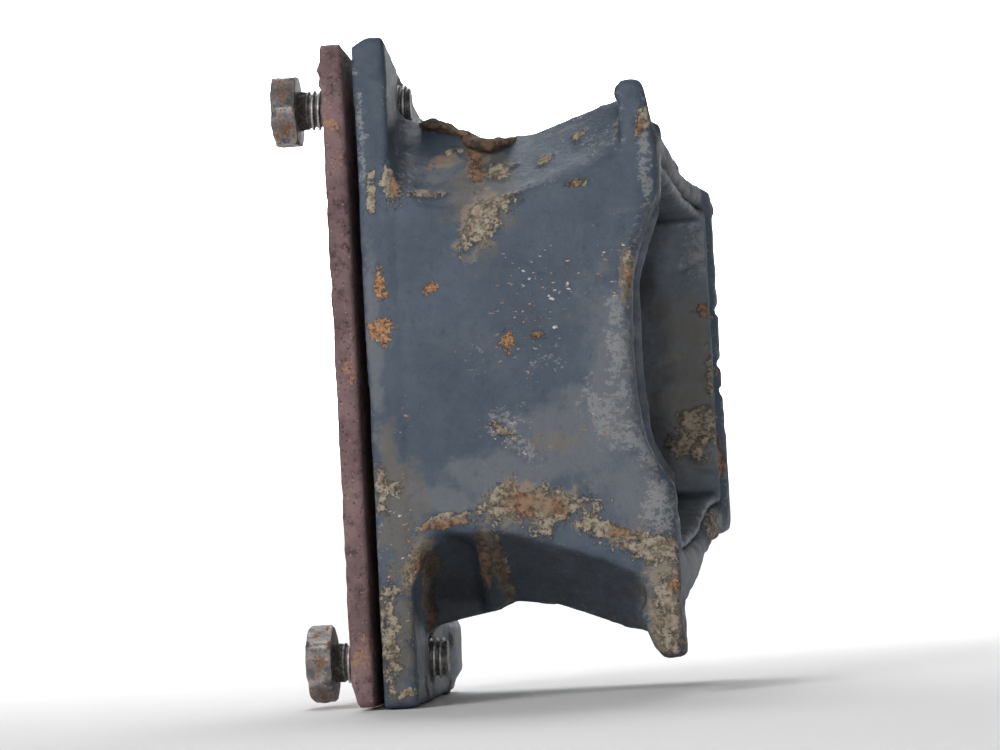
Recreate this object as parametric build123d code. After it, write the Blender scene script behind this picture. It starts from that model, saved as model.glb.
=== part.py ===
from build123d import *
import math
import os

os.makedirs("parts", exist_ok=True)

# Bow saddle block with a bolted clamp plate, in millimetres. The origin is the middle of
# the flange's clamping face. +X runs out to the open mouth, +Z up along the flange and
# -Y is the front.

# ---- Driving dimensions --------------------------------------------------------
DEPTH = 96.0              # front face to back face
HALF = DEPTH / 2
FLANGE = 8.0              # thickness of the base flange
FLANGE_HALF = 78.9        # half the flange's height
EAR_DROP = 10.5           # how far the upper ear's end slopes down from front to back
EAR_ROUND = 6.0           # rounded back corner of the lower ear
EDGE = 1.2                # worn radius on the flange's front corners

BOLT_UP = 67.4            # height of the upper bolt
BOLT_DOWN = -68.9         # height of the lower bolt
BOLT_Y = -14.0            # both bolts stand forward of the middle
THREAD = 10.0             # M10 bolts
THREAD_PLAY = 0.05        # radial clearance of the bolt in its tapped hole
SPOT_RADIUS = 7.0         # spot face round each bolt end, cut into the body's flank
SPOT_UP = 1.3             # how far each spot face is sunk into its ear
SPOT_DOWN = 2.2

PLATE = 4.5               # thickness of the clamp plate
PLATE_GAP = 2.3           # plate to flange
PLATE_HALF = 79.0
PLATE_DROP = 3.0          # slope of the plate's upper end, front to back
PLATE_ROUND = 2.5
PLATE_HOLE = 5.5          # radius of the clearance holes

BOLT_LENGTH = 28.0        # under the head
HEAD_HEIGHT = 6.4
HEAD_FLATS = 17.0
HEAD_CHAMFER = 30.0       # degrees, on the head's outer corners
NECK = 2.2                # plain length under the head
NECK_RADIUS = 4.7
UPPER_STICKOUT = 10.8     # under the upper head to the plate
LOWER_STICKOUT = 8.8
UPPER_TURN = 27.0         # degrees, how far each head is turned from a corner up
LOWER_TURN = 0.0

DROOP = 0.026             # the front of the body sinks this much per millimetre outwards
RISE = 0.033              # and the body climbs this much per millimetre of depth
MOUTH_FRONT = 70.8        # where the mouth's rim ends on the front face
MOUTH_BACK = 81.1         # and on the back face

CHEEK = 9.0               # thickness of the front cheek
CHEEK_START = 62.9
HORN_UP = 65.8            # tips of the front cheek
HORN_DOWN = -70.3
HORN_ROUND = 2.4
HORN_NECK = 46.0          # above this height the upper horn narrows
HORN_WAIST = (69.8, 57.0)  # its edge part way up
HORN_TIP = 68.6           # and at its tip

TROUGH_FLOOR = 50.0
LINER = 2.7               # thickness of the rubber liner
LINER_SHOWS = 1.8         # how far the liner stands past the worn edge
LINER_SET_BACK = 1.2      # liner's rim, below the mouth everywhere else

PAST = 12.0               # how far a cutting tool runs past what it cuts

# Body sections: distance from the clamping face, then the half height on the front face,
# the shoulder's depth and half height, and the half heights at MID, REAR and the back.
SECTIONS = [
    (FLANGE, 50.0, 23.0, 63.6, 63.4, 63.4, 56.0),
    (10.3, 43.2, 23.0, 61.6, 62.0, 60.5, 51.0),
    (16.2, 38.8, 23.0, 60.2, 60.0, 57.0, 44.9),
    (25.0, 37.9, 23.0, 58.2, 58.0, 54.8, 41.5),
    (29.4, 38.0, 23.0, 55.7, 56.3, 53.7, 41.0),
    (40.7, 41.5, 23.0, 57.3, 56.8, 52.8, 42.1),
    (54.6, 45.8, 18.0, 61.8, 57.5, 49.9, 44.3),
    (63.0, 49.7, 11.5, 64.8, 56.6, 48.4, 44.9),
    (65.0, 50.8, 11.5, 58.7, 55.2, 48.0, 44.9),
    (83.0, 52.0, 11.5, 56.0, 49.8, 45.7, 45.4),
]
MID = -7.0
REAR = 18.0

# The trough's outline across the depth, and the worn edge of the front cheek (x, z).
TROUGH = [(-38, -47.4), (-2, -42.8), (21, -36.3), (39, -34), (39, 42), (7, 43), (-16, 46), (-38, 49.8)]
WORN_EDGE = [(69.6, 36), (65.6, 26), (63.5, 19), (63.3, 8), (63.4, -8), (64.7, -19), (69.7, -29)]


# ---- Helpers -------------------------------------------------------------------
def across(x):
    """The plane at x whose own axes are the depth and the height."""
    return Plane(origin=(x, 0, 0), x_dir=(0, 1, 0), z_dir=(1, 0, 0))


def along_x(x_from, x_to, sketch):
    """A sketch drawn over depth and height, extruded between two distances."""
    return extrude(across(x_from) * sketch, amount=x_to - x_from)


def rod(radius, x_from, x_to, height):
    """A round bar along x at a height, in line with the bolts."""
    return along_x(x_from, x_to, Pos(BOLT_Y, height) * Circle(radius))


def upright(points, y_from, y_to):
    """A closed outline of (x, z) points, extruded through the depth."""
    outline = Polyline(*[(x, z) for x, z in points], close=True)
    plane = Plane(origin=(0, y_to, 0), x_dir=(1, 0, 0), z_dir=(0, -1, 0))
    return extrude(plane * make_face(outline), amount=y_to - y_from)


def bar_end_outline(half, drop):
    """A bar's outline over depth and height, with its upper end sloping down to the back."""
    return make_face(
        Polyline((-HALF, -half), (HALF, -half), (HALF, half - drop), (-HALF, half), close=True)
    )


def body_section(station):
    """One ten-sided section of the waisted body."""
    x, front, shoulder_depth, shoulder, middle, rear, back = station
    sink = DROOP * (x - FLANGE)
    shoulder_y = shoulder_depth - HALF
    upper = [(-HALF, front), (shoulder_y, shoulder), (MID, middle), (REAR, rear), (HALF, back)]
    sinks = [sink, sink, sink, 0, 0]
    lifts = [RISE * (y + HALF) - s for (y, z), s in zip(upper, sinks)]
    top = [(y, z + lift) for (y, z), lift in zip(upper, lifts)]
    bottom = [(y, lift - z) for (y, z), lift in zip(upper, lifts)]
    return across(x) * make_face(Polyline(*top, *reversed(bottom), close=True))


def mouth_cutter(set_back):
    """Everything past the slanted plane of the mouth."""
    top, far = 2 * FLANGE_HALF, 2 * MOUTH_BACK
    slope = (MOUTH_BACK - MOUTH_FRONT) / DEPTH
    near = MOUTH_FRONT - set_back - slope * PAST
    deep = MOUTH_BACK - set_back + slope * PAST
    outline = Polyline(
        (near, -HALF - PAST), (far, -HALF - PAST), (far, HALF + PAST), (deep, HALF + PAST), close=True
    )
    return Pos(0, 0, -FLANGE_HALF) * extrude(make_face(outline), amount=top)


def worn_cutter(shift):
    """The bite worn out of the front cheek, moved outwards by a shift."""
    ends = [(MOUTH_BACK, WORN_EDGE[0][1] + shift), (MOUTH_BACK, WORN_EDGE[-1][1] - shift)]
    worn = [(x + shift, z) for x, z in WORN_EDGE]
    return upright([ends[0], *worn, ends[1]], -HALF - PAST, -HALF + CHEEK + LINER + EDGE)


def trough(x_floor, inset):
    """The hollow between the cheeks, from its floor outwards."""
    outline = make_face(Polyline(*TROUGH, close=True))
    return along_x(x_floor, MOUTH_BACK + PAST, offset(outline, -inset, kind=Kind.INTERSECTION))


# ---- Parts ---------------------------------------------------------------------
def saddle_block():
    """The painted casting: base flange with two tapped ears, waisted body and cheeks."""
    ears = along_x(0, FLANGE, bar_end_outline(FLANGE_HALF, EAR_DROP))
    lower_back = ears.edges().filter_by(Axis.X).group_by(Axis.Z)[0].sort_by(Axis.Y)[-1]
    ears = fillet(lower_back, EAR_ROUND)
    front_edges = ears.edges().filter_by(Axis.X).group_by(Axis.Y)[0]
    ears = fillet(front_edges, EDGE)

    body = Part()
    for near, far in zip(SECTIONS, SECTIONS[1:]):
        body += loft([body_section(near), body_section(far)], ruled=True)

    below = [(CHEEK_START, HORN_DOWN), (MOUTH_BACK, HORN_DOWN), (MOUTH_BACK, HORN_NECK)]
    above = [(MOUTH_FRONT, HORN_NECK), HORN_WAIST, (HORN_TIP, HORN_UP), (CHEEK_START, HORN_UP)]
    cheek = upright([*below, *above], -HALF, -HALF + CHEEK)
    cheek -= mouth_cutter(0)
    shoulder_x = (HORN_TIP + HORN_WAIST[0]) / 2
    tips = cheek.edges().filter_by(Axis.Y).filter_by_position(Axis.X, 0, shoulder_x)
    cheek = fillet(tips, HORN_ROUND)

    block = ears + body + cheek
    block -= mouth_cutter(0)
    block -= trough(TROUGH_FLOOR, 0)
    block -= worn_cutter(0)
    bolt_ends = [(BOLT_UP, FLANGE - SPOT_UP), (BOLT_DOWN, FLANGE - SPOT_DOWN)]
    for height, seat in bolt_ends:
        block -= rod(THREAD / 2 + THREAD_PLAY, -PAST, FLANGE + PAST, height)
        block -= rod(SPOT_RADIUS, seat, FLANGE + PAST, height)
    return block


def saddle_liner():
    """The rubber cup that lines the trough."""
    liner = trough(TROUGH_FLOOR, 0) - trough(TROUGH_FLOOR + LINER, LINER)
    liner -= mouth_cutter(LINER_SET_BACK)
    liner -= worn_cutter(LINER_SHOWS)
    return liner


def clamp_plate():
    """The loose steel bar behind the flange, drilled for both bolts."""
    back = -PLATE_GAP - PLATE
    plate = along_x(back, -PLATE_GAP, bar_end_outline(PLATE_HALF, PLATE_DROP))
    plate = fillet(plate.edges().filter_by(Axis.X), PLATE_ROUND)
    for height in (BOLT_UP, BOLT_DOWN):
        plate -= rod(PLATE_HOLE, back - PAST, PAST, height)
    return plate


def hex_bolt(height, stickout, turn):
    """A hexagon-head bolt pointing along +X, its head away from the flange."""
    seat = -PLATE_GAP - PLATE - stickout
    corners = HEAD_FLATS / 3**0.5
    head_end = seat - HEAD_HEIGHT
    hexagon = Pos(BOLT_Y, height) * Rot(0, 0, 90 + turn) * RegularPolygon(corners, 6)
    head = along_x(head_end, seat, hexagon)
    envelope = rod(corners, head_end, seat, height)
    rims = envelope.edges().group_by(Axis.X)
    bevel = corners - HEAD_FLATS / 2
    run = bevel * math.tan(math.radians(HEAD_CHAMFER))
    envelope = chamfer(rims[0], run, bevel)
    neck = rod(NECK_RADIUS, seat, seat + NECK, height)
    shank = rod(THREAD / 2, seat + NECK, seat + BOLT_LENGTH, height)
    shank = chamfer(shank.edges().group_by(Axis.X)[-1], EDGE)
    return (head & envelope) + neck + shank


# ---- Output --------------------------------------------------------------------
parts = {
    "saddle_block": saddle_block(),
    "saddle_liner": saddle_liner(),
    "clamp_plate": clamp_plate(),
    "upper_bolt": hex_bolt(BOLT_UP, UPPER_STICKOUT, UPPER_TURN),
    "lower_bolt": hex_bolt(BOLT_DOWN, LOWER_STICKOUT, LOWER_TURN),
}
for name, solid in parts.items():
    export_step(solid, f"parts/{name}.step")
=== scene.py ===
"""The looks of the bow saddle block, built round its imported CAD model. Lengths are in
millimetres until a mesh is written, and places are in the part's own frame."""

import math

import bpy
import numpy as np
from mathutils import Matrix, Vector


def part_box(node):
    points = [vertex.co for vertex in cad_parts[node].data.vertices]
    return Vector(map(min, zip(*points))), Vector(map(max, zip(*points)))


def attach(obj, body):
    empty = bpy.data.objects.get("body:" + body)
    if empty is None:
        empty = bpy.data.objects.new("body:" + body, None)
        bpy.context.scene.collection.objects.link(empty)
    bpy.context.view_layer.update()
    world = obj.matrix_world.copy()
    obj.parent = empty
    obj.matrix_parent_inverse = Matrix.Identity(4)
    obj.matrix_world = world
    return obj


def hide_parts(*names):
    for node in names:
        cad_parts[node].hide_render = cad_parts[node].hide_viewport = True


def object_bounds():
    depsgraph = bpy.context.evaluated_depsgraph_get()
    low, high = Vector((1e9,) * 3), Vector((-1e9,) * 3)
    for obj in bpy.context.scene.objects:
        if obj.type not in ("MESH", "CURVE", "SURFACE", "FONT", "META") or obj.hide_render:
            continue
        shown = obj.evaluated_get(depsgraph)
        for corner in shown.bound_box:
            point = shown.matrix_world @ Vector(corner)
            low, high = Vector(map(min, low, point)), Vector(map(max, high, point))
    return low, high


MM = 0.001
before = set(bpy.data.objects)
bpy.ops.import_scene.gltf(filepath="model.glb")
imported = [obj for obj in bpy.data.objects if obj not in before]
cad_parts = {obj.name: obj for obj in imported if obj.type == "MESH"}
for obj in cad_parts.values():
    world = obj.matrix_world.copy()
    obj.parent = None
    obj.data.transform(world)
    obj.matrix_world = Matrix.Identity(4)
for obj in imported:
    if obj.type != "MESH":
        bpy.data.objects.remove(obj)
cad_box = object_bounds()

FRONT = 48.0         # the front face stands this far forward of the middle
MOUTH_SLOPE = 0.107  # the mouth stands this much further out per millimetre of depth


# ---- Noise and masks over points -------------------------------------------------
def lattice(cell, seed):
    """A repeatable value from 0 to 1 for each whole-numbered cell. The large odd numbers
    only scatter the bits, so that neighbouring cells get unrelated values."""
    mixed = cell[:, 0] * 374761393 + cell[:, 1] * 668265263 + cell[:, 2] * 1274126177
    mixed = (mixed + seed * 974634777) & 0xFFFFFFFF
    mixed = ((mixed ^ (mixed >> 13)) * 1103515245) & 0xFFFFFFFF
    return ((mixed ^ (mixed >> 15)) & 0xFFFF) / 65535.0


def noise(points, size, seed=0):
    """Smooth noise from -1 to 1, with features of that size."""
    scaled = points / size
    cell = np.floor(scaled).astype(np.int64)
    part = scaled - cell
    part = part * part * (3 - 2 * part)
    total = np.zeros(len(points))
    for corner in np.ndindex(2, 2, 2):
        weight = np.prod(np.where(np.array(corner) == 1, part, 1 - part), axis=1)
        total += weight * lattice(cell + np.array(corner), seed)
    return 2 * total - 1


def layered(points, size, seed=0):
    """Noise with two finer layers on it."""
    return (
        noise(points, size, seed)
        + 0.5 * noise(points, size / 2.1, seed + 1)
        + 0.25 * noise(points, size / 4.3, seed + 2)
    ) / 1.75


def ease(value, low, high):
    """0 below low, 1 above high, and a smooth step between."""
    t = np.clip((value - low) / (high - low), 0, 1)
    return t * t * (3 - 2 * t)


def window(value, low, high, soft):
    """1 between low and high, fading out over soft on each side."""
    return ease(value, low - soft, low + soft) * (1 - ease(value, high - soft, high + soft))


def blot(points, place, radii, tilt=0.0, ragged=0.85, seed=0):
    """A ragged patch over x and z: 1 in its middle, 0.5 at its edge, 0 outside."""
    across = points[:, 0] - place[0]
    up = points[:, 2] - place[1]
    c, s = math.cos(math.radians(tilt)), math.sin(math.radians(tilt))
    a = (across * c + up * s) / radii[0]
    b = (up * c - across * s) / radii[1]
    size = max(1.8, 0.8 * min(radii))
    reach = np.hypot(a, b) + ragged * layered(points, size, seed)
    return np.clip(1.45 - 0.95 * reach, 0, 1)


def near_line(points, line):
    """The distance over x and z from a line through points."""
    flat = points[:, [0, 2]]
    nearest = np.full(len(points), np.inf)
    for start, end in zip(line, line[1:]):
        start, run = np.array(start), np.array(end) - np.array(start)
        t = np.clip(((flat - start) @ run) / (run @ run), 0, 1)
        gap = np.linalg.norm(flat - start - t[:, None] * run, axis=1)
        nearest = np.minimum(nearest, gap)
    return nearest


def unslanted(points):
    """The distance out along x with the mouth's slant taken off, true on the front face."""
    return points[:, 0] - MOUTH_SLOPE * (points[:, 1] + FRONT)


# ---- Meshes ----------------------------------------------------------------------
def linked(name, data):
    """A new object in the scene that holds a mesh, a lamp or a camera."""
    obj = bpy.data.objects.new(name, data)
    bpy.context.scene.collection.objects.link(obj)
    return obj


def baked(obj):
    """The object with its modifiers applied."""
    depsgraph = bpy.context.evaluated_depsgraph_get()
    mesh = bpy.data.meshes.new_from_object(obj.evaluated_get(depsgraph))
    obj.modifiers.clear()
    obj.data = mesh
    return obj


def built(name, points, faces, unit=MM):
    """A new object from points in that unit and the faces between them."""
    mesh = bpy.data.meshes.new(name)
    mesh.from_pydata([tuple(unit * k for k in point) for point in points], [], faces)
    mesh.update()
    return linked(name, mesh)


def prism(name, outline, y_low, y_high):
    """A closed outline over x and z, carried through the depth."""
    count = len(outline)
    points = [(x, y, z) for y in (y_low, y_high) for x, z in outline]
    faces = [list(range(count)), list(range(2 * count - 1, count - 1, -1))]
    for i in range(count):
        j = (i + 1) % count
        faces.append([j, i, i + count, j + count])
    return built(name, points, faces)


def voxel_remesh(obj, voxel):
    """Adds a modifier that rebuilds the mesh in even faces of that size in millimetres."""
    even = obj.modifiers.new("even", "REMESH")
    even.mode = "VOXEL"
    even.voxel_size = voxel * MM
    even.use_smooth_shade = True


def smoothing(obj, rounds):
    """Adds a modifier that smooths the mesh a number of times."""
    wear = obj.modifiers.new("wear", "SMOOTH")
    wear.factor = 0.5
    wear.iterations = rounds
    return wear


def refined(node, name, voxel, rounds, cut=None):
    """A fine, even copy of a CAD node's mesh with its edges worn round."""
    obj = linked(name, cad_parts[node].data.copy())
    obj.data.materials.clear()
    if cut:
        bite = obj.modifiers.new("bite", "BOOLEAN")
        bite.operation = "DIFFERENCE"
        bite.object = cut
    voxel_remesh(obj, voxel)
    smoothing(obj, rounds)
    baked(obj)
    if cut:
        bpy.data.objects.remove(cut)
    return obj


def more_wear(obj, weights, rounds):
    """Smooths only where the weights say so."""
    group = obj.vertex_groups.new(name="wear")
    for index in np.nonzero(weights > 0.02)[0]:
        group.add([int(index)], float(weights[index]), "REPLACE")
    smoothing(obj, rounds).vertex_group = "wear"
    baked(obj)


def points_of(obj):
    """The mesh's points, in millimetres."""
    flat = np.empty(len(obj.data.vertices) * 3)
    obj.data.vertices.foreach_get("co", flat)
    return flat.reshape(-1, 3) / MM


def normals_of(obj):
    """The direction that the surface faces at each of the mesh's points."""
    flat = np.empty(len(obj.data.vertices) * 3, np.float32)
    obj.data.vertex_normals.foreach_get("vector", flat)
    return flat.reshape(-1, 3).astype(float)


def place_points(obj, points):
    """Moves the mesh's points to places in millimetres."""
    obj.data.vertices.foreach_set("co", (points * MM).astype(np.float32).ravel())
    obj.data.update()


def mask(obj, name, values):
    """Stores a value for each vertex, for the material to read."""
    layer = obj.data.attributes.new(name, "FLOAT", "POINT")
    layer.data.foreach_set("value", np.clip(values, 0, 1).astype(np.float32))


def add_masks(obj, found):
    """Stores every mask that was found."""
    for name, values in found.items():
        mask(obj, name, values)


def finish_piece(obj, body, material, nodes=()):
    """Gives a piece its material, its body and the CAD nodes that it stands in for."""
    obj.data.materials.clear()
    obj.data.materials.append(material)
    obj.data.shade_smooth()
    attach(obj, body)
    if nodes:
        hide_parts(*nodes)
    return obj


# ---- Colours ---------------------------------------------------------------------
PAINT_DARK = (0.046, 0.066, 0.094)
PAINT_LIGHT = (0.068, 0.091, 0.125)
# The lining's paint, lighter than the block's: partly its own colour and partly painted light on
# walls that the lamps barely reach.
LINING_DARK_PAINTED_LIT = (0.11, 0.135, 0.17)
LINING_LIGHT_PAINTED_LIT = (0.17, 0.2, 0.24)
PAINT_DULL = (0.045, 0.066, 0.088)
PAINT_CHALKY = (0.1, 0.112, 0.128)
PAINT_DEEP = (0.03, 0.038, 0.052)
PAINT_GLINT = (0.17, 0.175, 0.18)
HAZE = (0.165, 0.172, 0.185)
FILM = (0.15, 0.128, 0.1)
SCUFF = (0.27, 0.265, 0.265)
SOIL_WARM = (0.26, 0.185, 0.125)
SOIL_GREY = (0.2, 0.18, 0.135)
SOIL_PALE = (0.33, 0.28, 0.22)
CRUST_DARK = (0.14, 0.115, 0.085)
CRUST_PALE = (0.4, 0.345, 0.265)
CRUST_BROWN = (0.19, 0.13, 0.085)
CRUST_GRAIN = (0.5, 0.44, 0.38)
CRUST_PIT = (0.05, 0.045, 0.042)
RUST_DARK = (0.11, 0.06, 0.038)
RUST_LIGHT = (0.33, 0.2, 0.125)
RUST_TAN = (0.3, 0.225, 0.155)
ORANGE_DARK = (0.17, 0.085, 0.045)
ORANGE_LIGHT = (0.5, 0.27, 0.13)
ORANGE_CHIP = (0.52, 0.4, 0.32)
SPECK_PALE_GLINT = (0.6, 0.56, 0.52)
SPECK_BROWN = (0.36, 0.2, 0.14)
# Near black, for painted shade with a little dirt.
SHADE_AND_DIRT_BLACK = (0.012, 0.013, 0.016)
BAR_DARK = (0.1, 0.06, 0.062)
BAR_LIGHT = (0.21, 0.135, 0.135)
BAR_SHADE = (0.055, 0.035, 0.04)
BAR_GRAIN = (0.48, 0.36, 0.35)
BAR_ORANGE = (0.3, 0.17, 0.11)
BAR_PIT = (0.02, 0.012, 0.012)
STEEL_DARK = (0.09, 0.085, 0.085)
STEEL_LIGHT = (0.3, 0.29, 0.285)
STEEL_RUBBED_AND_HIGHLIGHT = (0.55, 0.535, 0.52)
STEEL_RUST_DARK = (0.07, 0.035, 0.022)
STEEL_RUST_LIGHT = (0.3, 0.15, 0.08)
STEEL_SHADE_AND_GRIME = (0.05, 0.046, 0.038)
SCALE_DARK = (0.05, 0.04, 0.032)
SCALE_LIGHT = (0.2, 0.135, 0.085)
SCALE_GRAIN = (0.34, 0.27, 0.19)


# ---- Material building -----------------------------------------------------------
MIX_A, MIX_B, MIX_RESULT = 6, 7, 2  # the Mix node's colour sockets


class Shader:
    """A principled material, built node by node in the object's own coordinates."""

    def __init__(self, name, metallic=0.0, specular=0.5):
        self.material = bpy.data.materials.new(name)
        self.material.use_nodes = True
        self.tree = self.material.node_tree
        self.surface = self.tree.nodes["Principled BSDF"]
        self.surface.inputs["Metallic"].default_value = metallic
        self.surface.inputs["Specular IOR Level"].default_value = specular
        self.coordinates = self.tree.nodes.new("ShaderNodeTexCoord").outputs["Object"]

    def feed(self, socket, value):
        """Links an output to a socket, or sets a constant value or colour on it."""
        if isinstance(value, bpy.types.NodeSocket):
            self.tree.links.new(value, socket)
        elif isinstance(value, tuple) and len(value) == 3 and socket.type == "RGBA":
            socket.default_value = (*value, 1.0)
        else:
            socket.default_value = value

    def mapped(self, stretch, shift):
        """The object's coordinates, stretched and shifted to another part of a texture."""
        mapping = self.tree.nodes.new("ShaderNodeMapping")
        mapping.inputs["Scale"].default_value = stretch
        mapping.inputs["Location"].default_value = (shift, shift, shift)
        self.tree.links.new(self.coordinates, mapping.inputs["Vector"])
        return mapping.outputs["Vector"]

    def grain(self, size, detail=4.0, roughness=0.55, stretch=(1, 1, 1), shift=0.0):
        """Noise from 0 to 1 with features of that size in millimetres."""
        place = self.mapped(stretch, shift)
        texture = self.tree.nodes.new("ShaderNodeTexNoise")
        texture.inputs["Scale"].default_value = 1 / (size * MM)
        texture.inputs["Detail"].default_value = detail
        texture.inputs["Roughness"].default_value = roughness
        self.tree.links.new(place, texture.inputs["Vector"])
        return texture.outputs["Fac"]

    def cells(self, size, shift=0.0):
        """Distance to the nearest of scattered points, for pits and specks."""
        place = self.mapped((1, 1, 1), shift)
        texture = self.tree.nodes.new("ShaderNodeTexVoronoi")
        texture.inputs["Scale"].default_value = 1 / (size * MM)
        self.tree.links.new(place, texture.inputs["Vector"])
        return texture.outputs["Distance"]

    def attribute(self, name):
        """One of the masks stored on the mesh."""
        node = self.tree.nodes.new("ShaderNodeAttribute")
        node.attribute_name = name
        return node.outputs["Fac"]

    def math(self, operation, a, b=0.0):
        """One sum, product or the like of two values."""
        node = self.tree.nodes.new("ShaderNodeMath")
        node.operation = operation
        self.feed(node.inputs[0], a)
        self.feed(node.inputs[1], b)
        return node.outputs[0]

    def step(self, value, low, high, to_low=0.0, to_high=1.0):
        """A smooth step from to_low to to_high, as the value goes from low to high."""
        node = self.tree.nodes.new("ShaderNodeMapRange")
        node.interpolation_type = "SMOOTHSTEP"
        self.feed(node.inputs["Value"], value)
        node.inputs["From Min"].default_value = low
        node.inputs["From Max"].default_value = high
        node.inputs["To Min"].default_value = to_low
        node.inputs["To Max"].default_value = to_high
        return node.outputs["Result"]

    def mix(self, share, a, b):
        """Colour a, going over to colour b as the share goes from 0 to 1."""
        node = self.tree.nodes.new("ShaderNodeMix")
        node.data_type = "RGBA"
        self.feed(node.inputs["Factor"], share)
        self.feed(node.inputs[MIX_A], a)
        self.feed(node.inputs[MIX_B], b)
        return node.outputs[MIX_RESULT]

    def ragged(self, name, *textures, low=0.44, high=0.54, strength=0.5):
        """A vertex mask whose soft edge is broken up by noise."""
        value = self.attribute(name)
        for texture in textures:
            centred = self.math("SUBTRACT", texture, 0.5)
            value = self.math("ADD", value, self.math("MULTIPLY", centred, strength))
        broken = self.step(value, low, high)
        within = self.step(self.attribute(name), 0.02, 0.2)
        return self.math("MULTIPLY", broken, within)

    def over(self, base, share, strength, colour):
        """A layer of colour laid over the base, at most that strong."""
        return self.mix(self.math("MULTIPLY", share, strength), base, colour)

    def done(self, colour, roughness, height, distance):
        """Joins up the colour, the roughness and a bump of that depth in millimetres."""
        self.feed(self.surface.inputs["Base Color"], colour)
        self.feed(self.surface.inputs["Roughness"], roughness)
        bump = self.tree.nodes.new("ShaderNodeBump")
        bump.inputs["Distance"].default_value = distance * MM
        self.feed(bump.inputs["Height"], height)
        self.tree.links.new(bump.outputs["Normal"], self.surface.inputs["Normal"])
        return self.material


def painted_material(name, dark, light):
    """Worn blue-grey paint with mineral crust, rust, pale scuffs and specks, and painted shade
    laid over it where the mesh's shade mask says.
    """
    s = Shader(name, specular=0.35)
    broad = s.grain(26, 5, 0.6)
    patchy = s.grain(6, 5, 0.65, shift=3.0)
    fine = s.grain(1.7, 5, 0.7, shift=7.0)
    tiny = s.grain(0.6, 4, 0.75, shift=11.0)
    dashes = s.grain(1.3, 4, 0.65, stretch=(0.6, 1, 1.2), shift=13.0)
    streak = s.grain(7, 4, 0.6, stretch=(0.4, 1, 1), shift=5.0)

    # The paint, then what has faded, washed or scraped over it.
    paint = s.mix(s.step(broad, 0.35, 0.65), dark, light)
    paint = s.mix(s.step(patchy, 0.4, 0.7, 0, 0.4), paint, PAINT_DULL)
    paint = s.mix(s.step(streak, 0.5, 0.7, 0, 0.35), paint, PAINT_CHALKY)
    paint = s.mix(s.step(fine, 0.56, 0.72, 0, 0.4), paint, PAINT_DEEP)
    paint = s.mix(s.step(tiny, 0.6, 0.76, 0, 0.3), paint, PAINT_GLINT)
    haze = s.ragged("haze", patchy, fine, low=0.15, high=1.0, strength=1.5)
    paint = s.over(paint, haze, 0.55, HAZE)
    film = s.ragged("film", patchy, fine, low=0.25, high=0.95, strength=1.6)
    paint = s.over(paint, film, 0.6, FILM)
    scuff = s.ragged("scuff", fine, tiny, dashes, low=0.6, high=1.0, strength=2.4)
    paint = s.over(paint, scuff, 0.6, SCUFF)
    stain = s.ragged("stain", patchy, fine, low=0.2, high=0.75, strength=1.3)
    soil = s.mix(s.step(patchy, 0.42, 0.6), SOIL_WARM, SOIL_GREY)
    soil = s.mix(s.step(fine, 0.55, 0.68, 0, 0.6), soil, SOIL_PALE)
    paint = s.over(paint, stain, 0.88, soil)

    # Mineral crust, brown rust, orange rust and pale specks, each on top of the last; the pale
    # specks are chipped paint and partly painted glints.
    tan = s.mix(s.step(fine, 0.4, 0.6), CRUST_DARK, CRUST_PALE)
    tan = s.mix(s.step(patchy, 0.52, 0.66, 0, 0.7), tan, CRUST_BROWN)
    tan = s.mix(s.step(tiny, 0.56, 0.68, 0, 0.75), tan, CRUST_GRAIN)
    tan = s.mix(s.step(dashes, 0.34, 0.44, 0.8, 0.0), tan, CRUST_PIT)
    crust = s.ragged("crust", fine, tiny, low=0.44, high=0.66, strength=2.0)
    colour = s.mix(crust, paint, tan)
    brown = s.mix(s.step(fine, 0.38, 0.62), RUST_DARK, RUST_LIGHT)
    brown = s.mix(s.step(patchy, 0.5, 0.66, 0, 0.7), brown, RUST_TAN)
    rust = s.ragged("rust", fine, tiny, low=0.44, high=0.64, strength=1.9)
    colour = s.mix(rust, colour, brown)
    orange = s.mix(s.step(tiny, 0.4, 0.6), ORANGE_DARK, ORANGE_LIGHT)
    orange = s.mix(s.step(dashes, 0.56, 0.66), orange, ORANGE_CHIP)
    bright = s.ragged("orange", fine, tiny, low=0.46, high=0.6, strength=2.2)
    colour = s.mix(bright, colour, orange)
    # Specks of chipped paint, the pale ones partly painted glints.
    inside = s.ragged("specks", patchy, low=0.3, high=0.8, strength=1.2)
    speck = s.math("MULTIPLY", s.step(dashes, 0.6, 0.64), inside)
    chips = s.mix(s.step(patchy, 0.48, 0.56), SPECK_PALE_GLINT, SPECK_BROWN)
    colour = s.mix(speck, colour, chips)
    # Painted shade, with a little dirt: near black wherever the mesh's shade mask is high.
    painted_shade_and_grime = s.ragged("painted_shade_and_grime", patchy, low=0.1, high=1.0, strength=0.5)
    colour = s.over(colour, painted_shade_and_grime, 0.85, SHADE_AND_DIRT_BLACK)

    # Whatever covers the paint is rougher than it and stands higher.
    covered = s.math("MAXIMUM", crust, s.math("MAXIMUM", rust, bright))
    roughness = s.step(covered, 0, 1, 0.55, 0.95)
    roughness = s.math("ADD", roughness, s.step(fine, 0.3, 0.7, -0.08, 0.1))
    height = s.math("MULTIPLY", fine, s.step(covered, 0, 1, 0.6, 1.8))
    height = s.math("ADD", height, s.math("MULTIPLY", tiny, s.step(covered, 0, 1, 0.25, 0.9)))
    height = s.math("ADD", height, s.math("MULTIPLY", patchy, 0.8))
    height = s.math("ADD", height, s.math("MULTIPLY", covered, 0.25))
    height = s.math("ADD", height, s.math("MULTIPLY", speck, 0.4))
    return s.done(colour, roughness, height, 0.4)


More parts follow.
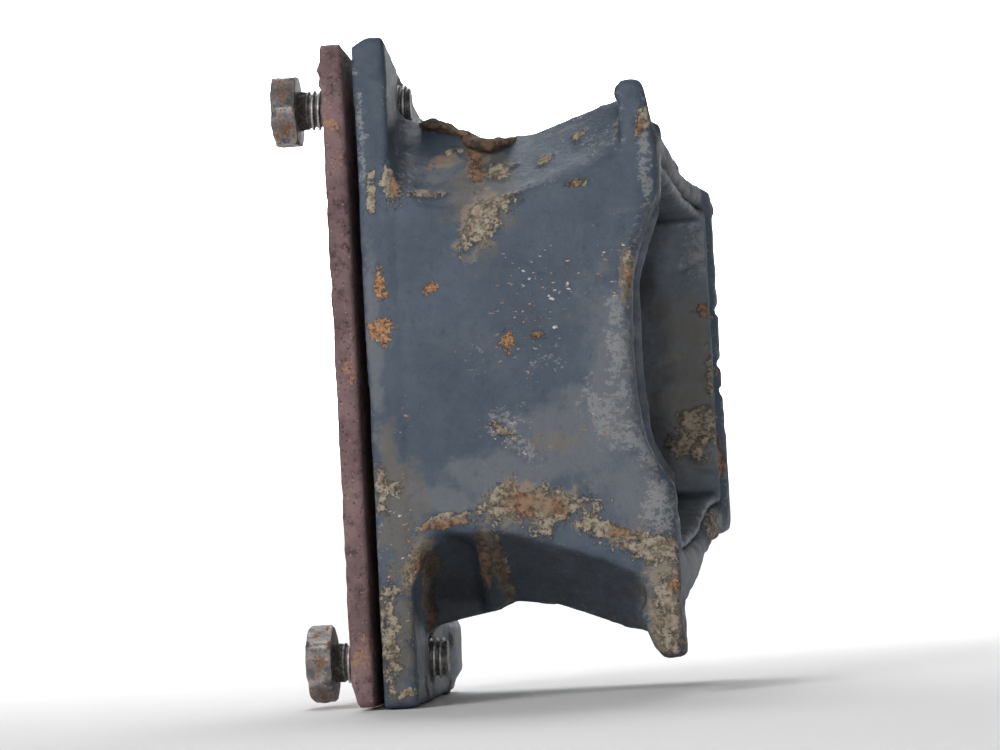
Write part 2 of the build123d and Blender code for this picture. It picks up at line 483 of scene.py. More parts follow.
def rusty_material():
    """Even red-brown rust, pitted, with pinkish grains."""
    s = Shader("rusty_bar", specular=0.3)
    broad = s.grain(14, 5, 0.6)
    mid = s.grain(3, 5, 0.7, shift=2.0)
    fine = s.grain(0.8, 4, 0.7, shift=4.0)
    pits = s.cells(1.6, 1.0)
    colour = s.mix(s.step(broad, 0.3, 0.7), BAR_DARK, BAR_LIGHT)
    colour = s.mix(s.step(mid, 0.5, 0.68, 0, 0.8), colour, BAR_SHADE)
    colour = s.mix(s.step(fine, 0.58, 0.74, 0, 0.75), colour, BAR_GRAIN)
    colour = s.mix(s.ragged("orange", mid, fine, strength=2.0), colour, BAR_ORANGE)
    colour = s.mix(s.step(pits, 0.05, 0.28, 0.6, 0.0), colour, BAR_PIT)
    height = s.math("ADD", s.math("MULTIPLY", mid, 0.8), s.math("MULTIPLY", fine, 0.35))
    height = s.math("ADD", height, s.step(pits, 0.02, 0.3, -0.35, 0.0))
    return s.done(colour, s.step(mid, 0.3, 0.7, 0.7, 0.95), height, 0.3)


def screw_material():
    """Tarnished steel, bright where it rubs and brown where it doesn't; the bright crests and
    corners are partly a painted highlight, and the thread's roots and neck get painted shade.
    """
    s = Shader("tarnished_steel", metallic=0.45)
    mid = s.grain(2.6, 5, 0.65)
    fine = s.grain(0.7, 4, 0.7, shift=3.0)
    colour = s.mix(s.step(mid, 0.35, 0.7), STEEL_DARK, STEEL_LIGHT)
    # Bright steel, rubbed and partly a painted highlight.
    bright = s.ragged("bright", mid, fine, low=0.4, high=0.9, strength=1.8)
    colour = s.mix(bright, colour, STEEL_RUBBED_AND_HIGHLIGHT)
    rust = s.ragged("rust", mid, fine, low=0.35, high=0.8, strength=2.2)
    brown = s.mix(s.step(fine, 0.3, 0.7), STEEL_RUST_DARK, STEEL_RUST_LIGHT)
    colour = s.mix(rust, colour, brown)
    # Painted shade in the thread's roots and on the neck.
    painted_shade_and_grime = s.ragged("painted_shade_and_grime", fine, low=0.3, high=0.95, strength=1.2)
    colour = s.mix(painted_shade_and_grime, colour, STEEL_SHADE_AND_GRIME)
    dull = s.math("MAXIMUM", rust, painted_shade_and_grime)
    roughness = s.math("SUBTRACT", s.step(dull, 0, 1, 0.48, 0.9), s.math("MULTIPLY", bright, 0.14))
    height = s.math("ADD", mid, s.math("MULTIPLY", fine, 0.5))
    return s.done(colour, roughness, height, 0.14)


def flake_material():
    """Loose brown scale."""
    s = Shader("brown_scale", specular=0.25)
    mid = s.grain(3.5, 5, 0.7)
    fine = s.grain(0.9, 4, 0.75, shift=2.0)
    colour = s.mix(s.step(mid, 0.35, 0.65), SCALE_DARK, SCALE_LIGHT)
    colour = s.mix(s.step(fine, 0.58, 0.75, 0, 0.8), colour, SCALE_GRAIN)
    height = s.math("ADD", mid, s.math("MULTIPLY", fine, 0.6))
    return s.done(colour, s.step(fine, 0.3, 0.7, 0.8, 1.0), height, 0.5)


painted = painted_material("worn_paint", PAINT_DARK, PAINT_LIGHT)
# The lining gets the same paint with lighter colours, partly painted light.
lining = painted_material("scuffed_lining_painted_lit", LINING_DARK_PAINTED_LIT, LINING_LIGHT_PAINTED_LIT)
rusty = rusty_material()
steel = screw_material()
scale = flake_material()


# ---- The casting -----------------------------------------------------------------
# Patches on the front: what, place over x and z, radii, tilt in degrees.
PATCHES = [
    ("haze", (58.0, 0.0), (7.0, 20.0), 0),
    ("haze", (50.0, -18.0), (15.0, 9.0), 0),
    ("haze", (36.0, -25.0), (16.0, 6.0), 0),
    ("haze", (62.0, -32.0), (8.0, 12.0), 0),
    ("haze", (18.0, -31.0), (10.0, 5.0), 0),
    ("film", (5.0, -30.0), (5.0, 16.0), 0),
    ("film", (4.0, -60.0), (5.0, 16.0), 0),
    ("film", (44.0, -18.0), (5.0, 3.0), 10),
    ("haze", (2.0, 8.0), (2.0, 24.0), 0),
    ("scuff", (1.4, 58.0), (1.0, 12.0), 0),
    ("stain", (39.0, -33.0), (12.0, 5.0), -6),
    ("stain", (30.0, -33.0), (4.0, 3.4), 20),
    ("stain", (9.4, -46.5), (2.8, 6.5), -20),
    ("stain", (9.4, -58.0), (1.4, 12.0), 0),
    ("stain", (27.8, -47.0), (1.8, 9.0), 8),
    ("stain", (28.0, 35.0), (4.0, 7.0), -22),
    ("stain", (27.4, 50.5), (2.0, 8.0), 6),
    ("stain", (67.8, -60.0), (3.6, 11.0), 0),
    ("haze", (67.0, -52.0), (4.5, 12.0), 0),
    ("scuff", (67.4, -52.0), (4.4, 12.0), 0),
    ("stain", (60.0, -43.0), (6.0, 2.6), -12),
    ("stain", (62.4, 20.0), (1.3, 6.5), -6),
    ("orange", (4.1, 20.6), (1.3, 3.4), 0),
    ("orange", (4.0, 9.5), (2.4, 3.0), 10),
    ("orange", (15.9, 19.0), (2.3, 1.2), 15),
    ("rust", (8.6, 44.0), (1.0, 3.2), 10),
    ("specks", (8.5, 44.5), (3.0, 5.5), 10),
    ("crust", (8.0, 44.0), (2.2, 4.6), 10),
    ("stain", (19.8, 50.4), (3.4, 1.9), 10),
    ("haze", (19.0, 48.5), (7.0, 3.6), 5),
    ("crust", (21.5, 53.0), (3.0, 0.8), 12),
    ("crust", (3.0, 42.0), (1.2, 4.8), 0),
    ("crust", (16.5, 41.8), (4.2, 1.0), -4),
    ("crust", (28.4, 33.0), (3.6, 6.6), -22),
    ("crust", (32.5, 37.6), (6.5, 2.2), 25),
    ("film", (28.7, 38.0), (8.0, 11.0), 0),
    ("rust", (27.2, 50.5), (1.7, 8.0), 6),
    ("film", (27.0, 50.0), (4.0, 9.5), 0),
    ("crust", (33.0, 47.0), (3.2, 2.2), 30),
    ("crust", (44.1, 48.9), (2.3, 1.2), 22),
    ("crust", (52.4, 54.6), (1.9, 1.2), 45),
    ("crust", (51.9, 41.8), (3.2, 0.9), 5),
    ("rust", (50.5, 41.5), (2.4, 0.9), 5),
    ("specks", (38.2, 14.0), (9.0, 14.0), 0),
    ("specks", (45.0, 21.0), (8.0, 8.0), 0),
    ("orange", (33.6, 6.3), (1.5, 2.2), 0),
    ("rust", (41.0, 6.6), (1.6, 1.1), 0),
    ("scuff", (31.5, -14.0), (4.5, 3.2), -40),
    ("scuff", (35.0, -19.0), (5.0, 2.2), -40),
    ("specks", (34.0, -19.0), (8.0, 8.0), 0),
    ("crust", (31.8, -15.5), (3.0, 1.2), -35),
    ("scuff", (55.0, -13.0), (5.0, 7.0), 0),
    ("specks", (55.0, -14.0), (6.0, 6.0), 0),
    ("crust", (30.0, -32.5), (5.0, 3.6), 20),
    ("crust", (39.0, -34.0), (10.5, 4.6), -6),
    ("rust", (36.0, -33.0), (4.5, 3.2), -6),
    ("rust", (43.5, -34.5), (3.0, 2.4), 0),
    ("crust", (52.8, -39.5), (6.0, 2.8), -16),
    ("rust", (57.5, -40.6), (2.6, 1.2), -8),
    ("crust", (61.9, -44.0), (5.4, 2.8), -10),
    ("crust", (16.8, -35.6), (7.6, 1.5), 10),
    ("rust", (17.5, -36.4), (7.0, 0.9), 6),
    ("crust", (10.0, -46.5), (3.4, 5.2), -28),
    ("rust", (10.6, -46.0), (2.2, 3.4), -28),
    ("rust", (24.4, -45.5), (1.3, 7.0), 0),
    ("crust", (28.6, -47.5), (1.6, 8.0), 8),
    ("rust", (28.0, -45.0), (1.2, 5.0), 8),
    ("rust", (9.6, -57.5), (1.6, 6.0), 0),
    ("crust", (9.2, -62.0), (1.3, 15.0), 0),
    ("crust", (2.4, -62.0), (2.5, 12.5), 0),
    ("crust", (4.7, -75.6), (3.2, 0.9), 0),
    ("crust", (2.0, -28.0), (1.3, 7.0), 0),
    ("crust", (5.0, -27.5), (2.0, 1.8), 0),
    ("specks", (6.0, -40.0), (4.0, 22.0), 0),
    ("film", (9.5, -50.0), (3.6, 26.0), 0),
    ("crust", (67.6, -60.0), (3.0, 10.0), 0),
    ("crust", (66.5, -45.0), (5.0, 4.0), -30),
    ("film", (66.4, -57.0), (5.5, 14.0), 0),
    ("orange", (70.0, -53.6), (1.1, 1.9), 0),
    ("crust", (67.8, 55.3), (1.5, 3.4), -20),
    ("rust", (67.6, 54.6), (1.0, 2.2), -20),
    ("crust", (62.6, 20.6), (1.2, 6.0), -6),
    ("rust", (62.4, 18.5), (0.8, 3.0), 0),
    ("scuff", (66.0, -24.0), (4.0, 10.0), 35),
    ("scuff", (66.5, -36.0), (3.6, 8.0), 10),
    ("scuff", (68.4, 46.0), (1.6, 10.0), 0),
    ("scuff", (60.0, 2.0), (3.4, 12.0), 0),
    ("specks", (60.0, 24.0), (5.0, 8.0), 0),
]
MASKS = ("crust", "rust", "orange", "film", "haze", "stain", "scuff", "specks")

# Chips out of the back cheek's rim: place over x and z, and size.
RIM_CHIPS = [(78.0, 16.0, 2.2), (79.5, 2.0, 1.8), (79.4, -5.0, 1.5), (76.0, -15.0, 3.2)]
CHIP_SHIFT = 2.6  # each chip's middle is this far past its place, so it bites from the edge

HORN_GAIN = 0.5       # the upper horn's inner edge is moved out to make it this much wider
FLANGE_LIFT = 1.4     # added to the flange's top
CHEEK_REACH = 1.1     # added to the back cheek's rim
EAR_SWELL = 1.9       # added to the lower ear's thickness at its back
RIM_SET_BACK = 0.4    # taken off the mouth's upper rim
POCKET_DEPTH = 5.0    # the hollow at the lower left of the front
RIB_HEIGHT = 1.0      # the rib beside it
GROOVE_DEPTH = 0.4    # between the flange and the body
CRUST_HEIGHT = 0.55
RIDGE_LINE = [(33.4, 38.0), (44.0, 43.5), (62.4, 50.5)]
RIDGE_HEIGHT = 0.35   # a faint ridge on the front, up towards the horn


def painted_masks(points, facing, share):
    """One mask for each kind: the front's patches, and stray wear elsewhere."""
    found = {kind: np.zeros(len(points)) for kind in MASKS}
    for seed, (kind, place, radii, tilt) in enumerate(PATCHES):
        patch = blot(points, place, radii, tilt, seed=seed) * share
        found[kind] = np.maximum(found[kind], patch)
    ground = layered(points, 9, 70)
    found["scuff"] = np.maximum(found["scuff"], 0.34 * ease(ground, 0.05, 0.5) * facing)
    elsewhere = 1 - share
    stray = layered(points, 13, 80)
    found["crust"] = np.maximum(found["crust"], 0.62 * ease(stray, 0.28, 0.42) * elsewhere)
    found["rust"] = np.maximum(found["rust"], 0.6 * ease(-stray, 0.34, 0.46) * elsewhere)
    washed = ease(layered(points, 21, 90), 0, 0.4)
    found["film"] = np.maximum(found["film"], 0.6 * washed * elsewhere)
    return found


def bend_to_outline(p, outward):
    """Moves points to the outline in the photo: horns, flange, back cheek, ear and rim."""
    x, y, z = p.T
    near = ease(-y, 33, 38)
    p[:, 0] -= HORN_GAIN * ease(z, 58, 63) * near * (1 - ease(x, 62, 64.6)) * (x > 55)
    # The lower horn's inner edge goes from wider to narrower towards the tip.
    flare = -1.8 + 3.4 * np.clip((-60 - z) / 9, 0, 1)
    p[:, 0] += flare * ease(-z, 57, 60.5) * near * (1 - ease(x, 66, 69)) * (x > 55)
    p[:, 2] += FLANGE_LIFT * ease(x, 0.5, 4.5) * ease(z, 72, 78)
    p[:, 0] += CHEEK_REACH * ease(y, 36, 42) * ease(x, 74, 78)
    p[:, 0] += EAR_SWELL * ease(y, 10, 34) * outward * window(z, -75, -61, 2) * (x < 12)
    rim_top = ease(x, 62, 70) * ease(z, 41, 47) * window(y, -34, 34, 5)
    p[:, 2] -= (0.5 + 0.4 * window(y, -22, 12, 8)) * rim_top
    p[:, 0] -= RIM_SET_BACK * window(z, 46, 60, 3) * ease(x, 64, 67) * window(y, -34, 30, 4)


def press_pocket(p, front, forward):
    """Presses the pocket, the rib and the groove into the front, and returns the pocket."""
    x, y, z = p.T
    above = -38.5 - 0.09 * (x - 17) ** 2 - z
    inside = window(x, 10.5, 23.0, 1.6) * ease(above, -0.8, 1.6) * (1 - ease(-z, 54, 61))
    pocket = inside * front * forward
    rib = np.exp(-(((x - 28.0) / 1.8) ** 2)) * window(z, -57, -41, 3) * front * forward
    groove = np.exp(-(((x - 8.6) / 0.8) ** 2)) * ease(-y, 44, 47) * window(z, -70, 40, 6)
    p[:, 1] += POCKET_DEPTH * pocket - RIB_HEIGHT * rib + GROOVE_DEPTH * groove
    return pocket


def casting():
    """The painted block, with its pocket, rib, wear and crust."""
    obj = refined("saddle_block", "casting", voxel=1.05, rounds=3)
    p = points_of(obj)
    horns = ease(-p[:, 1], 34, 38) * ease(np.abs(p[:, 2]), 44, 48)
    more_wear(obj, ease(unslanted(p), 56, 60) * (1 - horns), rounds=50)
    p = points_of(obj)
    n = normals_of(obj)
    x, y, z = p.T
    front = ease(-n[:, 1], 0.15, 0.5)
    forward = ease(-y, -18, 2)
    bend_to_outline(p, ease(n[:, 0], 0.2, 0.8))
    pocket = press_pocket(p, front, forward)

    found = painted_masks(p, front, front * forward)
    swell = 0.34 * noise(p, 23, 1) + 0.16 * noise(p, 8, 2) + 0.07 * noise(p, 3, 3)
    raised = np.maximum(found["crust"], found["rust"])
    swell += CRUST_HEIGHT * ease(raised, 0.42, 0.62) * (0.75 + 0.5 * noise(p, 1.7, 4))
    swell -= 0.3 * ease(found["orange"], 0.42, 0.6)
    swell -= 0.12 * ease(found["scuff"], 0.4, 0.7)
    ridge = near_line(p, RIDGE_LINE)
    swell += RIDGE_HEIGHT * np.exp(-((ridge / 1.6) ** 2)) * front

    # The rims and corners are eaten away here and there.
    rim = ease(unslanted(p), 66.5, 70.5)
    bitten = window(z, -42, 40, 6) * ease(x, 60.5, 63.5) * ease(-y, 36, 40)
    swell -= (0.25 * rim + 0.75 * bitten) * ease(layered(p, 4.5, 5), 0.05, 0.5)
    corner = ease(np.abs(n[:, 0]) * np.abs(n[:, 1]) * 4, 0.5, 1.0)
    swell -= 0.4 * corner * ease(layered(p, 3.4, 6), 0.1, 0.6)
    for at_x, at_z, size in RIM_CHIPS:
        gap = np.hypot(x - at_x - CHIP_SHIFT, z - at_z)
        swell -= 0.9 * ease(y, 40, 44) * ease(size - gap, 0, 1.2)
    p += n * swell[:, None]
    # The clamping face stays flat, so that the plate never cuts into it.
    p[:, 0] = np.maximum(p[:, 0], 0)
    place_points(obj, p)

    found["scuff"] = np.maximum(found["scuff"], 0.55 * corner * ease(noise(p, 6, 7), -0.4, 0.4))
    # Painted shade: on the face towards the plate, on faces turned downwards and in the pocket.
    hidden = ease(x, -1.0, 1.2) * ease(-n[:, 0], 0.5, 0.9)
    under = ease(-n[:, 2], 0.15, 0.7) * 0.7
    in_pocket = 0.35 * pocket * ease(-z, 48, 54)
    found["painted_shade_and_grime"] = np.maximum(0.35 * hidden, under) + 0.1 * pocket + in_pocket
    obj.vertex_groups.clear()
    add_masks(obj, found)
    return finish_piece(obj, "block", painted, ["saddle_block"])


# ---- The lining ------------------------------------------------------------------
# Where the lining is torn away at the lower back, as an outline over x and z.
TORN = [
    (50, -29), (60, -31), (66, -28.5), (70, -31), (73, -28.8), (75, -28.4), (76.6, -30.6),
    (78, -30), (79.3, -33.8), (80.4, -33.2), (82, -35.4), (95, -36), (95, -60), (50, -60),
]
# Cuts in the lining's inner face, as lines over x and z.
CUTS = [
    [(74.6, 46.5), (75.6, 44.0), (75.0, 42.2)],
    [(74.4, 40.5), (77.2, 42.6)],
    [(76.0, 36.6), (78.6, 39.6)],
    [(79.0, 31.6), (81.5, 32.6)],
    [(73.0, 27.0), (78.0, 29.4), (81.5, 28.6)],
    [(69.0, -21.0), (74.0, -24.5), (80.5, -26.0)],
]
# Patches on the same face, listed as in PATCHES.
LINING_PATCHES = [
    ("crust", (75.0, -15.0), (4.6, 4.6), 0),
    ("crust", (72.0, -19.0), (5.0, 3.0), -20),
    ("rust", (77.5, 16.0), (2.3, 2.2), 0),
    ("crust", (78.8, -0.5), (1.5, 6.8), 0),
    ("rust", (79.4, 2.0), (1.0, 4.4), 0),
    ("film", (73.0, -6.0), (10.0, 24.0), 0),
    ("film", (76.0, 10.0), (6.0, 14.0), 0),
    ("scuff", (77.0, 34.0), (5.0, 9.0), 0),
]


CUT_DEPTH = 0.95


def lining_piece():
    """The trough's lining, darkened by painted shade inside, cut, crusted and torn away at its
    lower back.
    """
    torn = prism("torn_away", TORN, -4, 60)
    obj = refined("saddle_liner", "lining", voxel=0.85, rounds=16, cut=torn)
    p = points_of(obj)
    n = normals_of(obj)
    inner = ease(-n[:, 1], 0.5, 0.8) * ease(p[:, 1], 20, 28)
    found = {kind: np.zeros(len(p)) for kind in MASKS}
    for seed, (kind, place, radii, tilt) in enumerate(LINING_PATCHES, start=100):
        patch = inner * blot(p, place, radii, tilt, seed=seed)
        found[kind] = np.maximum(found[kind], patch)
    swell = 0.22 * noise(p, 9, 11) + 0.12 * noise(p, 3, 12)
    swell += 0.5 * ease(found["crust"], 0.4, 0.6) * (0.7 + 0.8 * noise(p, 1.6, 13)) * inner
    for cut in CUTS:
        wavy = near_line(p, cut) + 0.25 * noise(p, 1.5, 14)
        swell -= CUT_DEPTH * np.exp(-((wavy / 0.75) ** 2)) * inner
    lip = ease(unslanted(p), 60.5, 63.5) * ease(-p[:, 1], 30, 34)
    swell -= 0.12 * lip * ease(noise(p, 3, 15), -0.1, 0.5)
    p[:, 0] += 1.2 * ease(p[:, 0], 74, 78) * ease(p[:, 1], 34, 38)
    p += n * swell[:, None]
    place_points(obj, p)
    # Painted shade deep in the trough, on its top and bottom walls and on its near wall, over a
    # little random dirt.
    deep = ease(-unslanted(p), -65, -55)
    found["painted_shade_and_grime"] = 0.65 * deep + 0.2 * ease(noise(p, 7, 16), 0, 0.6)
    found["painted_shade_and_grime"] += 0.5 * ease(np.abs(n[:, 2]), 0.3, 0.7) + 0.45 * ease(-p[:, 1], 26, 34)
    add_masks(obj, found)
    return finish_piece(obj, "block", lining, ["saddle_liner"])


# ---- The clamp plate -------------------------------------------------------------
# Lumps along the plate's front outer edge: height, half width and size.
BURRS = [(72.6, 1.1, 1.0), (69.5, 1.2, 0.7), (62.8, 1.4, 0.5), (-73.0, 1.5, 0.3)]
# Orange spots: place over x and z, and half width.
WARM_SPOTS = [(-6.0, 60.0, 2.5), (-5.5, 50.0, 2.0), (-4.0, 1.0, 1.8), (-5.0, -66.0, 3.0)]
OUTER_BULGE = 0.9   # added to the plate's outer face
TAPER_LENGTH = 10   # the lower end gets thinner over this length
TAPER_DEPTH = 1.6


def plate_piece():
    """The rusty bar, pitted, with a burr on its edge and a worn lower corner."""
    obj = refined("clamp_plate", "rusty_plate", voxel=0.95, rounds=3)
    p = points_of(obj)
    n = normals_of(obj)
    low, high = (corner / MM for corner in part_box("clamp_plate"))
    near = ease(-p[:, 1], 42, 46)
    outer = ease(low.x + 1.4 - p[:, 0], 0, 1.2)
    for height, width, size in BURRS:
        p[:, 0] -= size * np.exp(-(((p[:, 2] - height) / width) ** 2)) * near * outer
    p[:, 0] -= OUTER_BULGE * ease(low.x + 2.4 - p[:, 0], 0, 2)
    taper = np.clip((low.z + TAPER_LENGTH - p[:, 2]) / TAPER_LENGTH, 0, 1) ** 2
    p[:, 0] += TAPER_DEPTH * taper * ease(high.x - 1.2 - p[:, 0], 0, 1.5)
    swell = 0.13 * noise(p, 11, 21) + 0.1 * noise(p, 3.4, 22) + 0.06 * noise(p, 1.3, 23)
    swell -= 0.3 * ease(noise(p, 2.6, 24), 0.55, 0.8)
    p += n * swell[:, None]
    # The face towards the block stays flat, so that the two never cut into each other.
    p[:, 0] = np.minimum(p[:, 0], high.x)
    place_points(obj, p)
    warm = np.zeros(len(p))
    for at_x, at_z, size in WARM_SPOTS:
        spot = blot(p, (at_x, at_z), (size, size * 1.6), seed=int(size * 10))
        warm = np.maximum(warm, spot)
    mask(obj, "orange", 0.5 * warm)
    return finish_piece(obj, "clamp", rusty, ["clamp_plate"])


# ---- The screws ------------------------------------------------------------------
PITCH = 1.5
AROUND = 168          # points round a screw
HEAD = 6.4            # thickness of the head
FLATS = 17.0
CROWN = (7.6, 2.1)    # radius of the head's outer face, and what its rounding adds
CROWN_DEPTH = 2.0
SKIRT = (8.9, 0.95)   # radius of the head's underside, and what its bevel adds
SKIRT_DEPTH = 0.8
WORN_CORNER = 9.55    # the corners reach no further than this
NECK_END = 8.6
NECK_RADIUS = 4.7
CREST = 4.98
ROOT = 4.1
RUN_IN = 0.8          # the thread grows out of the neck over this length
TIP_BEVEL = 1.1       # the tip's bevel starts this far from its end
TIP_SLOPE = 1.1       # and takes off this much radius per millimetre
TIP_DISH = 0.35       # hollow in the tip
THREAD_STEP = 0.125   # between two rings of the thread
BRIGHT_FROM = 4.55    # the thread is painted bright outside this radius, as rubbed steel and partly a painted highlight
BRIGHT_RUN = 0.4


def off_flat(angle, turn):
    """The angle from the middle of the nearest flat, with a corner at the turn."""
    return (angle - math.radians(turn)) % math.radians(60) - math.radians(30)


def screw_radius(along, angle, length, turn):
    """The screw's radius at a distance from its head's outer face."""
    if along <= HEAD:
        hexagon = FLATS / 2 / math.cos(off_flat(angle, turn))
        sunk = 1 - min(1.0, along / CROWN_DEPTH)
        crown = CROWN[0] + CROWN[1] * math.sqrt(max(0.0, 1 - sunk**2))
        skirt = SKIRT[0] + SKIRT[1] * min(1.0, (HEAD - along) / SKIRT_DEPTH)
        return min(hexagon, crown, skirt, WORN_CORNER)
    if along <= NECK_END:
        return NECK_RADIUS
    # The minus makes the helix left-hand, where the real screws' thread is right-hand.
    phase = (along / PITCH - angle / (2 * math.pi)) % 1.0
    ramp = min(1.0, max(0.0, 2.6 * abs(2 * phase - 1) - 0.8))
    thread = ROOT + (CREST - ROOT) * ramp
    run_in = min(1.0, (along - NECK_END) / RUN_IN)
    bevel = CREST - max(0.0, along - (length - TIP_BEVEL)) * TIP_SLOPE
    return min(NECK_RADIUS * (1 - run_in) + thread * run_in, bevel)


def screw_rings(length):
    """Each ring's distance from the outer face, its share of the radius, and the radius
    that the share counts from."""
    rings = [(0.0, share, 0.0) for share in (0.25, 0.5, 0.75, 0.9)]
    rings += [(along, 1.0, 0.0) for along in np.linspace(0, HEAD, 34)]
    rings += [(HEAD, share, NECK_RADIUS) for share in (0.7, 0.4, 0.15)]
    rings += [(along, 1.0, 0.0) for along in np.linspace(HEAD + 0.01, NECK_END, 12)]
    rings += [(along, 1.0, 0.0) for along in np.arange(NECK_END + 0.12, length, THREAD_STEP)]
    rings += [(length, share, 0.0) for share in (1.0, 0.8, 0.55, 0.3)]
    return rings


def screw_wear(along, share, radius, swing):
    """The rust, the bright metal (rubbed, and partly a painted highlight) and the painted shade at
    one point of a screw.
    """
    if along <= HEAD:
        middle = max(0.0, 1 - abs(math.degrees(swing)) / 26)
        belt = max(0.0, 1 - abs(along - HEAD / 2) / 2.9)
        # The head's corners are painted brighter, as rubbed steel and partly a painted highlight.
        edge = (1 - min(1.0, middle * 3.0)) * (share == 1.0)
        return 0.3 + 0.4 * middle * belt, 0.2 + 0.3 * edge, 0.0
    # The neck gets painted shade.
    if along <= NECK_END:
        return 0.12, 0.0, 0.75
    # On the thread, the crests are painted bright, as rubbed steel and partly a painted highlight,
    # and the roots get painted shade.
    crest = min(1.0, max(0.0, (radius - BRIGHT_FROM) / BRIGHT_RUN))
    return 0.12, 0.85 * crest, 0.5 * (1 - crest)


def skin(count, around, first, last):
    """Faces over a number of rings of points, closed by a point at each end."""
    faces = []
    for ring in range(count - 1):
        for i in range(around):
            j = (i + 1) % around
            a, b = ring * around, (ring + 1) * around
            faces.append((a + i, b + i, b + j, a + j))
    final = (count - 1) * around
    for i in range(around):
        j = (i + 1) % around
        faces.append((first, i, j))
        faces.append((last, final + j, final + i))
    return faces


def screw(node, name, turn, body):
    """A hexagon-head screw with a helical thread, its head worn and rusty."""
    low, high = (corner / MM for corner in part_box(node))
    centre_y, centre_z = (low.y + high.y) / 2, (low.z + high.z) / 2
    length = high.x - low.x
    rings = screw_rings(length)
    points, wear = [], []
    for along, share, inner in rings:
        for angle in np.arange(AROUND) * 2 * math.pi / AROUND:
            radius = screw_radius(along, angle, length, turn)
            radius = inner + (radius - inner) * share
            dish = TIP_DISH * (1 - radius / CREST) if along >= length else 0.0
            y = centre_y + radius * math.sin(angle)
            z = centre_z + radius * math.cos(angle)
            points.append((low.x + along - dish, y, z))
            wear.append(screw_wear(along, share, radius, off_flat(angle, turn)))
    first, last = len(points), len(points) + 1
    points += [(low.x, centre_y, centre_z), (high.x - TIP_DISH, centre_y, centre_z)]
    wear += [(0.4, 0.4, 0.4), (0.3, 0.3, 0.3)]

    obj = built(name, points, skin(len(rings), AROUND, first, last))
    p = points_of(obj)
    head = 1 - ease(p[:, 0] - low.x, HEAD - 0.4, HEAD)
    dents = 0.24 * noise(p, 4.2, 31) + 0.16 * noise(p, 1.7, 32) - 0.15
    p += normals_of(obj) * (dents * head)[:, None]
    along = p[:, 0] - low.x
    collar = ease(along, HEAD, HEAD + 0.3) * (1 - ease(along, NECK_END - 0.6, NECK_END))
    p += normals_of(obj) * (0.3 * noise(p, 1.3, 33) * collar)[:, None]
    place_points(obj, p)
    for kind, values in zip(("rust", "bright", "painted_shade_and_grime"), np.array(wear).T):
        mask(obj, kind, values)
    return finish_piece(obj, body, steel, [node])


# ---- Loose scale on top of the block ---------------------------------------------
SCAB_AROUND = 28


def scab(name, spine, seed):
    """A thin ragged flake along a spine of (x, y, z, half depth, half thickness)."""
    points = []
    for x, y, z, half_y, height in spine:
        for i in range(SCAB_AROUND):
            angle = 2 * math.pi * i / SCAB_AROUND
            points.append((x, y + half_y * math.cos(angle), z + height * math.sin(angle)))
    faces = []
    for a in range(0, len(points) - SCAB_AROUND, SCAB_AROUND):
        b = a + SCAB_AROUND
        for i in range(SCAB_AROUND):
            j = (i + 1) % SCAB_AROUND
            faces.append((a + i, a + j, b + j, b + i))
    faces.append(tuple(reversed(range(SCAB_AROUND))))
    faces.append(tuple(range(len(points) - SCAB_AROUND, len(points))))
    obj = built(name, points, faces)
    voxel_remesh(obj, voxel=0.45)
    baked(obj)
    p = points_of(obj)
    n = normals_of(obj)
    swell = 0.6 * noise(p, 4.5, seed) + 0.45 * noise(p, 1.9, seed + 1)
    swell += 0.2 * noise(p, 0.9, seed + 2)
    p += n * swell[:, None]
    place_points(obj, p)
    return finish_piece(obj, "block", scale)


casting()
lining_piece()
plate_piece()
screw("upper_bolt", "upper_screw_steel", turn=27, body="upper_screw")
screw("lower_bolt", "lower_screw_steel", turn=0, body="lower_screw")
scab(
    "scale_lump",
    [
        (13.4, -26, 60.2, 3.5, 1.1), (15.2, -26, 60.4, 5.0, 1.9), (17.2, -26, 60.1, 5.5, 2.1),
        (19.5, -26, 59.5, 5.0, 1.7), (22.5, -26, 58.3, 5.0, 1.4), (25.5, -26, 56.8, 4.5, 1.4),
    ],
    seed=41,
)
scab(
    "scale_flake",
    [
        (24.0, -26, 55.6, 5.0, 1.5), (27.0, -27, 54.4, 7.0, 2.0), (31.0, -27, 54.2, 6.5, 1.9),
        (34.5, -25, 54.8, 5.0, 1.4), (37.6, -22, 56.0, 2.5, 0.6),
    ],
    seed=51,
)


# ---- Floor, light and camera -----------------------------------------------------
# Metres, from here on.
FLOOR_GAP = 0.0006    # the floor's distance below the part's lowest point
FLOOR_HALF = 1.7      # half its width
FLOOR_NEAR = -2.4
FLOOR_FAR = 2.4       # where the backdrop stands
FLOOR_BEND = 2.0      # radius of the sweep between them
BEND_STEPS = 32
CAMERA_PLACE = (0.09948, -0.86839, -0.04439)
CAMERA_RIGHT = (0.9949, 0.08531, -0.05388)
CAMERA_UP = (0.05798, -0.04635, 0.99724)
CAMERA_LENS = 126     # millimetres, on a sensor 36 wide


def stage_material():
    """Pale matt paper, a little uneven."""
    s = Shader("pale_studio", specular=0.1)
    soft = s.grain(900, 2, 0.5)
    colour = s.mix(s.step(soft, 0.3, 0.7), (0.86, 0.86, 0.86), (0.9, 0.9, 0.9))
    return s.done(colour, 0.95, soft, 0.1)


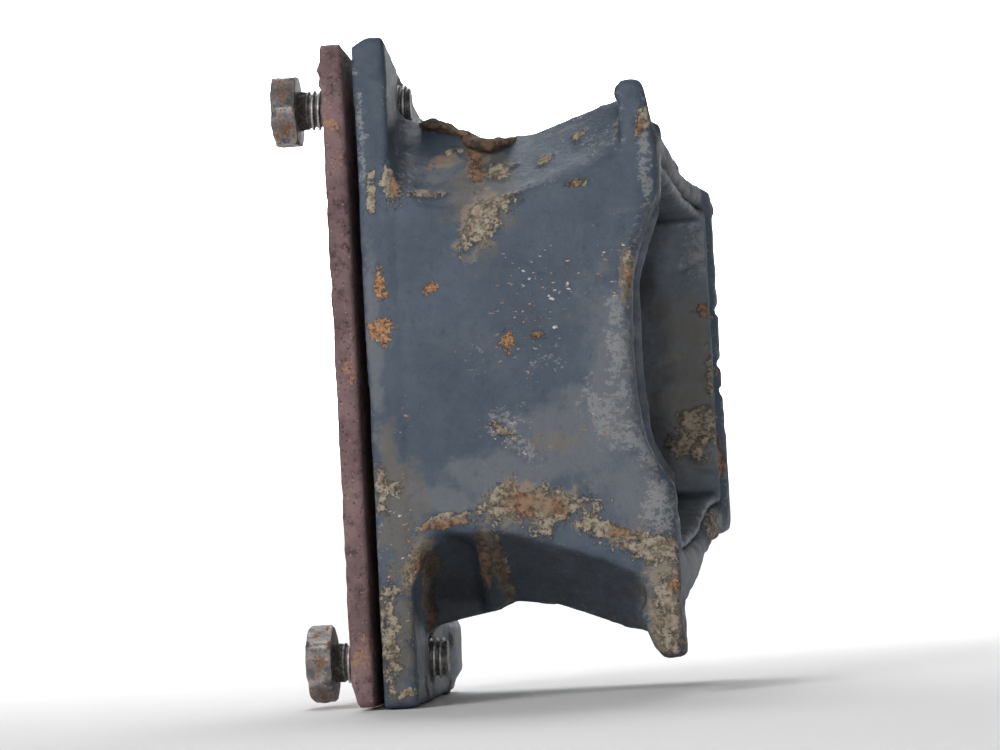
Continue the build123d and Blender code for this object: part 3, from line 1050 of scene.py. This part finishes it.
def studio_floor():
    """A pale floor that sweeps up into a backdrop."""
    ground = cad_box[0][2] - FLOOR_GAP
    profile = [(FLOOR_NEAR, 0.0), (FLOOR_FAR - FLOOR_BEND, 0.0)]
    for i in range(1, BEND_STEPS + 1):
        angle = math.pi / 2 * i / BEND_STEPS
        y = FLOOR_FAR - FLOOR_BEND + FLOOR_BEND * math.sin(angle)
        profile.append((y, FLOOR_BEND - FLOOR_BEND * math.cos(angle)))
    profile.append((FLOOR_FAR, 0.9))
    points = [(x, y, ground + z) for y, z in profile for x in (-FLOOR_HALF, FLOOR_HALF)]
    faces = [(2 * i, 2 * i + 1, 2 * i + 3, 2 * i + 2) for i in range(len(profile) - 1)]
    obj = built("studio_floor", points, faces, unit=1)
    obj.data.materials.append(stage_material())
    obj.data.shade_smooth()


def soft_light(name, place, size, power, aim=(0.03, 0, 0)):
    """A round lamp of that size and power, turned towards a point."""
    lamp = bpy.data.lights.new(name, "AREA")
    lamp.shape = "DISK"
    lamp.size = size
    lamp.energy = power
    obj = linked(name, lamp)
    obj.location = place
    obj.rotation_euler = (Vector(aim) - Vector(place)).to_track_quat("-Z", "Y").to_euler()


studio_floor()
soft_light("key", (-0.6, -1.0, 0.5), 0.6, 8.8)
soft_light("fill", (0.25, -1.25, 0.1), 0.6, 4.0)
soft_light("floor_near", (0.0, 0.25, 0.6), 0.6, 3, aim=(0.0, 1.3, 0.0))
soft_light("floor_far", (-0.05, 0.8, 1.2), 0.9, 12, aim=(-0.05, 0.6, -0.08))
soft_light("backdrop_wash", (-0.15, 1.0, 0.5), 0.6, 30, aim=(-0.15, 2.2, 0.2))

world = bpy.data.worlds.new("studio")
world.use_nodes = True
world.node_tree.nodes["Background"].inputs["Color"].default_value = (1, 1, 1, 1)
world.node_tree.nodes["Background"].inputs["Strength"].default_value = 0.1
bpy.context.scene.world = world
bpy.context.scene.view_settings.view_transform = "Standard"

camera = bpy.data.cameras.new("camera")
camera.sensor_width = 36
camera.lens = CAMERA_LENS
camera.clip_start = 0.05
camera.clip_end = 20
camera_obj = linked("camera", camera)
right = Vector(CAMERA_RIGHT)
up = Vector(CAMERA_UP)
back = right.cross(up)
turned = Matrix((right, up, back)).transposed().to_4x4()
camera_obj.matrix_world = Matrix.Translation(CAMERA_PLACE) @ turned
bpy.context.scene.camera = camera_obj
